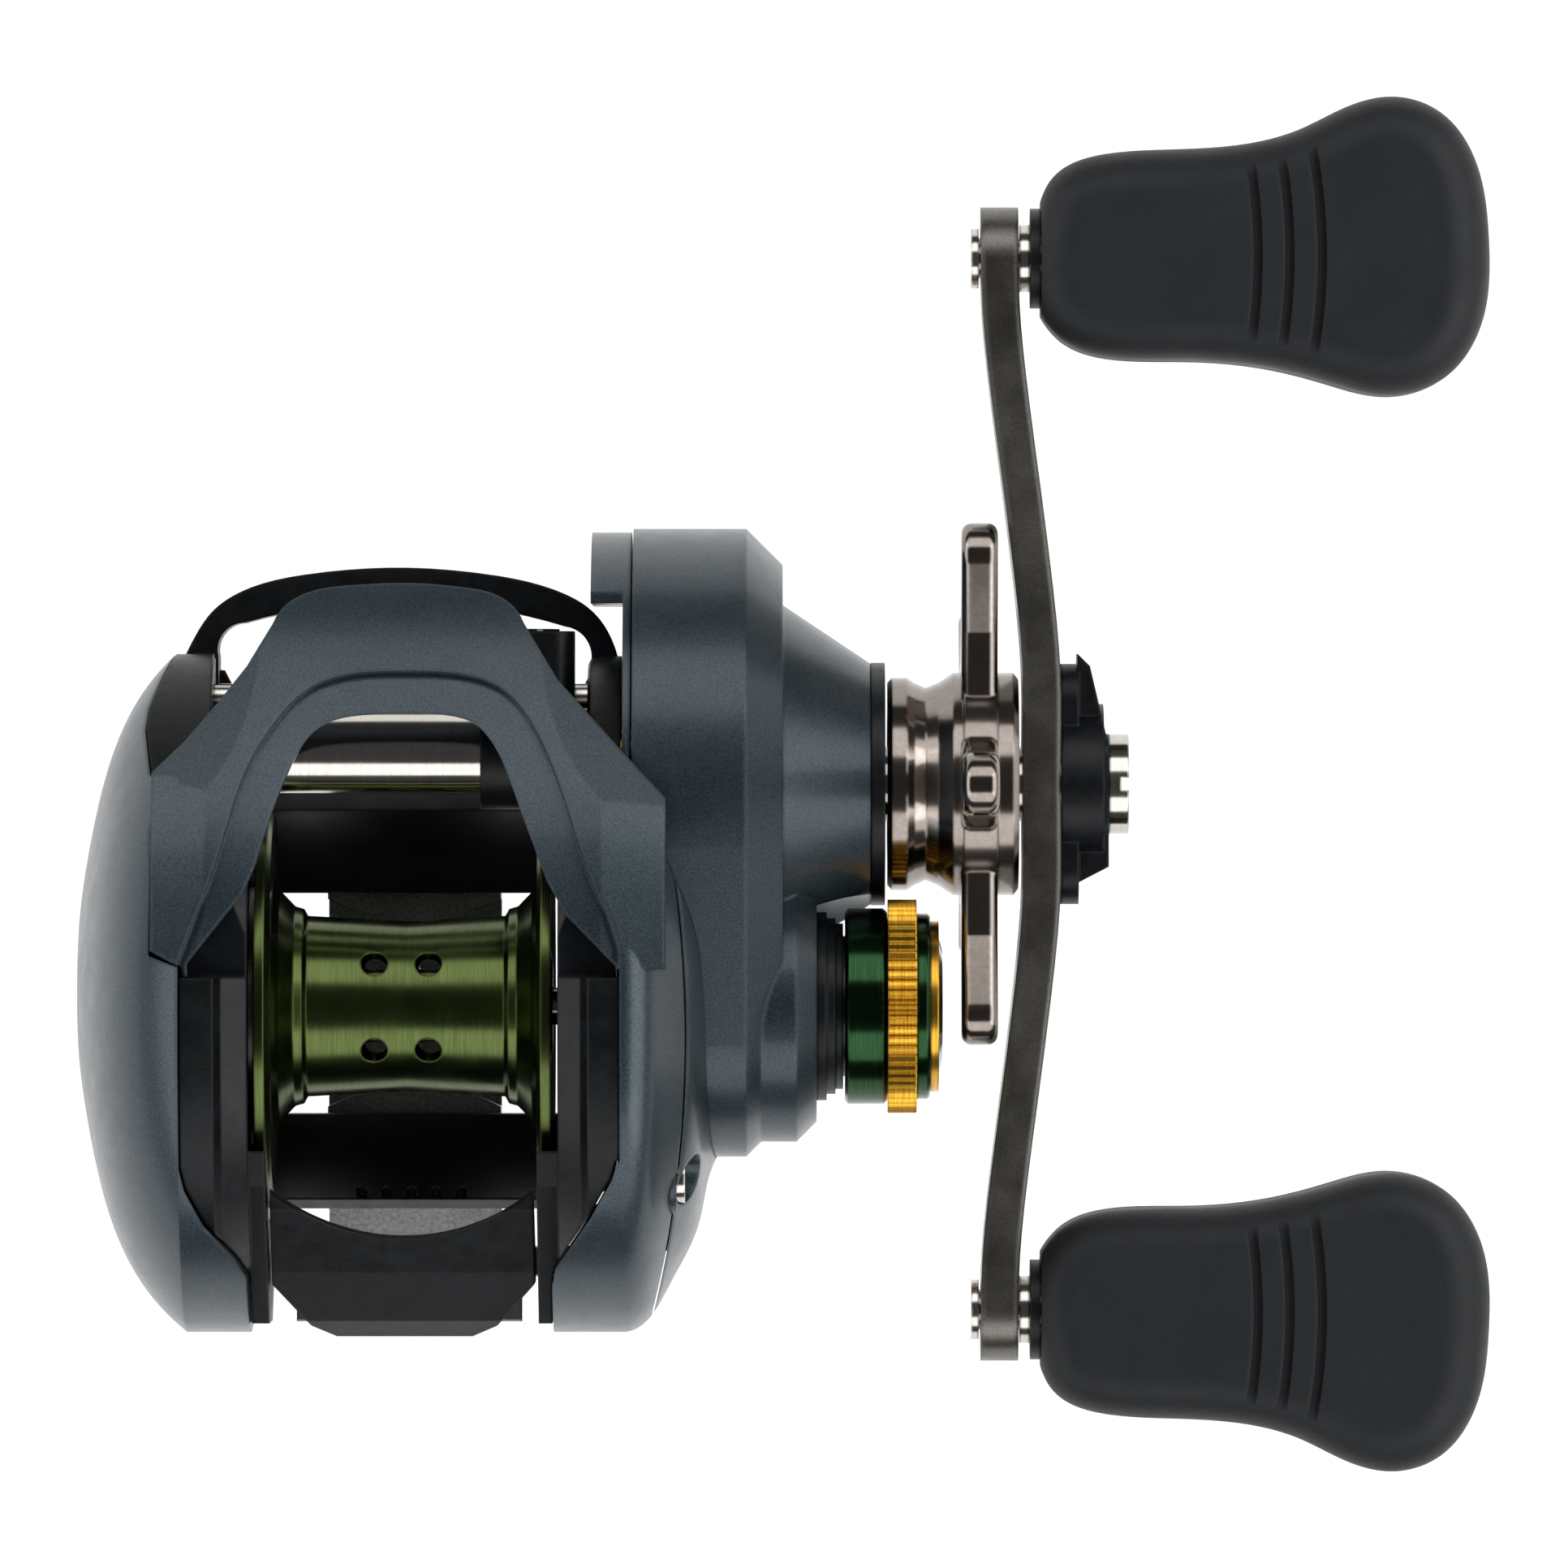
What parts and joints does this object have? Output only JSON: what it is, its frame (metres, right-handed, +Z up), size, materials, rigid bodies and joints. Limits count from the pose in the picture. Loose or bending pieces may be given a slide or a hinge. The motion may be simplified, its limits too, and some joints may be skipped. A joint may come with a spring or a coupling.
{
  "type": "baitcasting fishing reel",
  "caption": "Low-profile baitcasting reel with double paddle handle, star drag, thumb clutch bar, levelwind and machined spool.",
  "frame": {"origin": "centre of the reel foot's seat face, under the spool shaft", "axes": "+X along the spool shaft towards the handle, +Y towards the rod tip, +Z up out of the rod seat"},
  "size_m": [0.1125, 0.1096, 0.0465],
  "materials": {
    "painted_slate": "satin metallic paint",
    "black_frame": "satin black",
    "foot_metal": "satin",
    "steel": "polished",
    "brass": "machined",
    "dull_metal": "matte",
    "white_plastic": "moulded",
    "ceramic": "polished ceramic",
    "green_anodised": "anodised",
    "gold_anodised": "anodised",
    "dark_badge": "gloss",
    "gunmetal": "gunmetal plate",
    "knob_rubber": "soft touch",
    "black_plastic": "moulded"
  },
  "bodies": {
    "frame": {"frame": "black_frame", "hood": "painted_slate", "palm_side_plate": "painted_slate", "palm_screw": "steel", "reel_foot": "foot_metal", "foot_screws": "steel", "right_shell": "painted_slate", "gear_case": "painted_slate", "gear_set_plate": "painted_slate", "cover_screws": "steel", "brake_housing": "black_frame", "brake_coil_board": "black_plastic", "ball_bearings": "steel", "roller_clutch": "steel", "neck_ring": "black_frame", "cast_control_collar": "black_frame", "guide_rod": "steel", "worm_guard_tube": "steel", "worm_bushings": "white_plastic", "yoke_posts": "steel", "yoke_springs": "steel"},
    "drive": {"drive_shaft": "steel", "drive_gear": "brass", "levelwind_drive_gear": "white_plastic", "drag_washers": "black_plastic", "clutch_sleeve": "steel", "drag_spring_washers": "steel", "handle_arm": "gunmetal", "handle_nut": "steel", "handle_nut_cover": "black_frame", "retainer_screw": "steel", "knob_spindles": "steel", "knob_screws": "steel"},
    "star": {"star_drag": "gunmetal", "star_nut": "brass"},
    "knob_front": {"knob_front": "knob_rubber", "knob_cap_front": "knob_rubber", "knob_bushings_front": "black_plastic"},
    "knob_rear": {"knob_rear": "knob_rubber", "knob_cap_rear": "knob_rubber", "knob_bushings_rear": "black_plastic"},
    "spool": {"spool": "green_anodised", "spool_shaft": "steel", "spool_pin": "steel", "brake_rotor": "dull_metal"},
    "thumb_bar": {"thumb_bar": "black_frame", "thumb_bar_carrier": "steel"},
    "clutch_cam": {"clutch_cam": "dull_metal"},
    "yoke": {"pinion_yoke": "dull_metal"},
    "pinion": {"pinion_gear": "brass"},
    "worm": {"worm_shaft": "brass", "worm_gear": "white_plastic"},
    "line_guide": {"line_guide": "black_frame", "guide_insert": "ceramic", "levelwind_pawl": "black_plastic"},
    "cast_control": {"cast_control_cap": "green_anodised", "cast_control_rings": "gold_anodised", "cast_control_badge": "dark_badge", "cast_friction_washer": "black_plastic"},
    "brake_dial": {"brake_dial": "black_frame"}
  },
  "joints": [
    {"name": "handle_spin", "type": "hinge", "parent": "frame", "child": "drive", "pos_m": [0, 0.0177, 0.02085], "axis": [1, 0, 0], "continuous": true},
    {"name": "star_turn", "type": "hinge", "parent": "drive", "child": "star", "pos_m": [0, 0.0177, 0.02085], "axis": [1, 0, 0], "range_deg": [-360, 360]},
    {"name": "knob_front_spin", "type": "hinge", "parent": "drive", "child": "knob_front", "pos_m": [0, 0.0597, 0.02085], "axis": [1, 0, 0], "continuous": true},
    {"name": "knob_rear_spin", "type": "hinge", "parent": "drive", "child": "knob_rear", "pos_m": [0, -0.0243, 0.02085], "axis": [1, 0, 0], "continuous": true},
    {"name": "spool_spin", "type": "hinge", "parent": "frame", "child": "spool", "pos_m": [0, 0, 0.025], "axis": [1, 0, 0], "continuous": true},
    {"name": "thumb_bar_press", "type": "slide", "parent": "frame", "child": "thumb_bar", "axis": [0, 0, -1], "range_m": [0, 0.004], "stiffness_N_per_m": 800, "springref_m": -0.002},
    {"name": "clutch_cam_turn", "type": "hinge", "parent": "frame", "child": "clutch_cam", "pos_m": [0, 0, 0.025], "axis": [1, 0, 0], "range_deg": [-0.5, 12]},
    {"name": "yoke_shift", "type": "slide", "parent": "frame", "child": "yoke", "axis": [1, 0, 0], "range_m": [0, 0.0016], "deforming": ["yoke_springs"]},
    {"name": "pinion_spin", "type": "hinge", "parent": "yoke", "child": "pinion", "pos_m": [0, 0, 0.025], "axis": [1, 0, 0], "continuous": true},
    {"name": "worm_spin", "type": "hinge", "parent": "frame", "child": "worm", "pos_m": [0, 0.02019, 0.03156], "axis": [1, 0, 0], "continuous": true},
    {"name": "line_guide_travel", "type": "slide", "parent": "frame", "child": "line_guide", "axis": [1, 0, 0], "range_m": [-0.019, 0]},
    {"name": "cast_control_turn", "type": "hinge", "parent": "frame", "child": "cast_control", "pos_m": [0, 0, 0.025], "axis": [1, 0, 0], "range_deg": [-360, 360]},
    {"name": "brake_dial_turn", "type": "hinge", "parent": "frame", "child": "brake_dial", "pos_m": [0, 0.008, 0.012], "axis": [1, 0, 0], "range_deg": [0, 135]}
  ],
  "couplings": [
    {"joint": "spool_spin", "follows": "handle_spin", "ratio": -6.2143},
    {"joint": "pinion_spin", "follows": "handle_spin", "ratio": -6.2143},
    {"joint": "worm_spin", "follows": "handle_spin", "ratio": -1.4444},
    {"joint": "clutch_cam_turn", "follows": "thumb_bar_press", "rad_per_m": 48.863},
    {"joint": "yoke_shift", "follows": "thumb_bar_press", "ratio": 0.375}
  ]
}
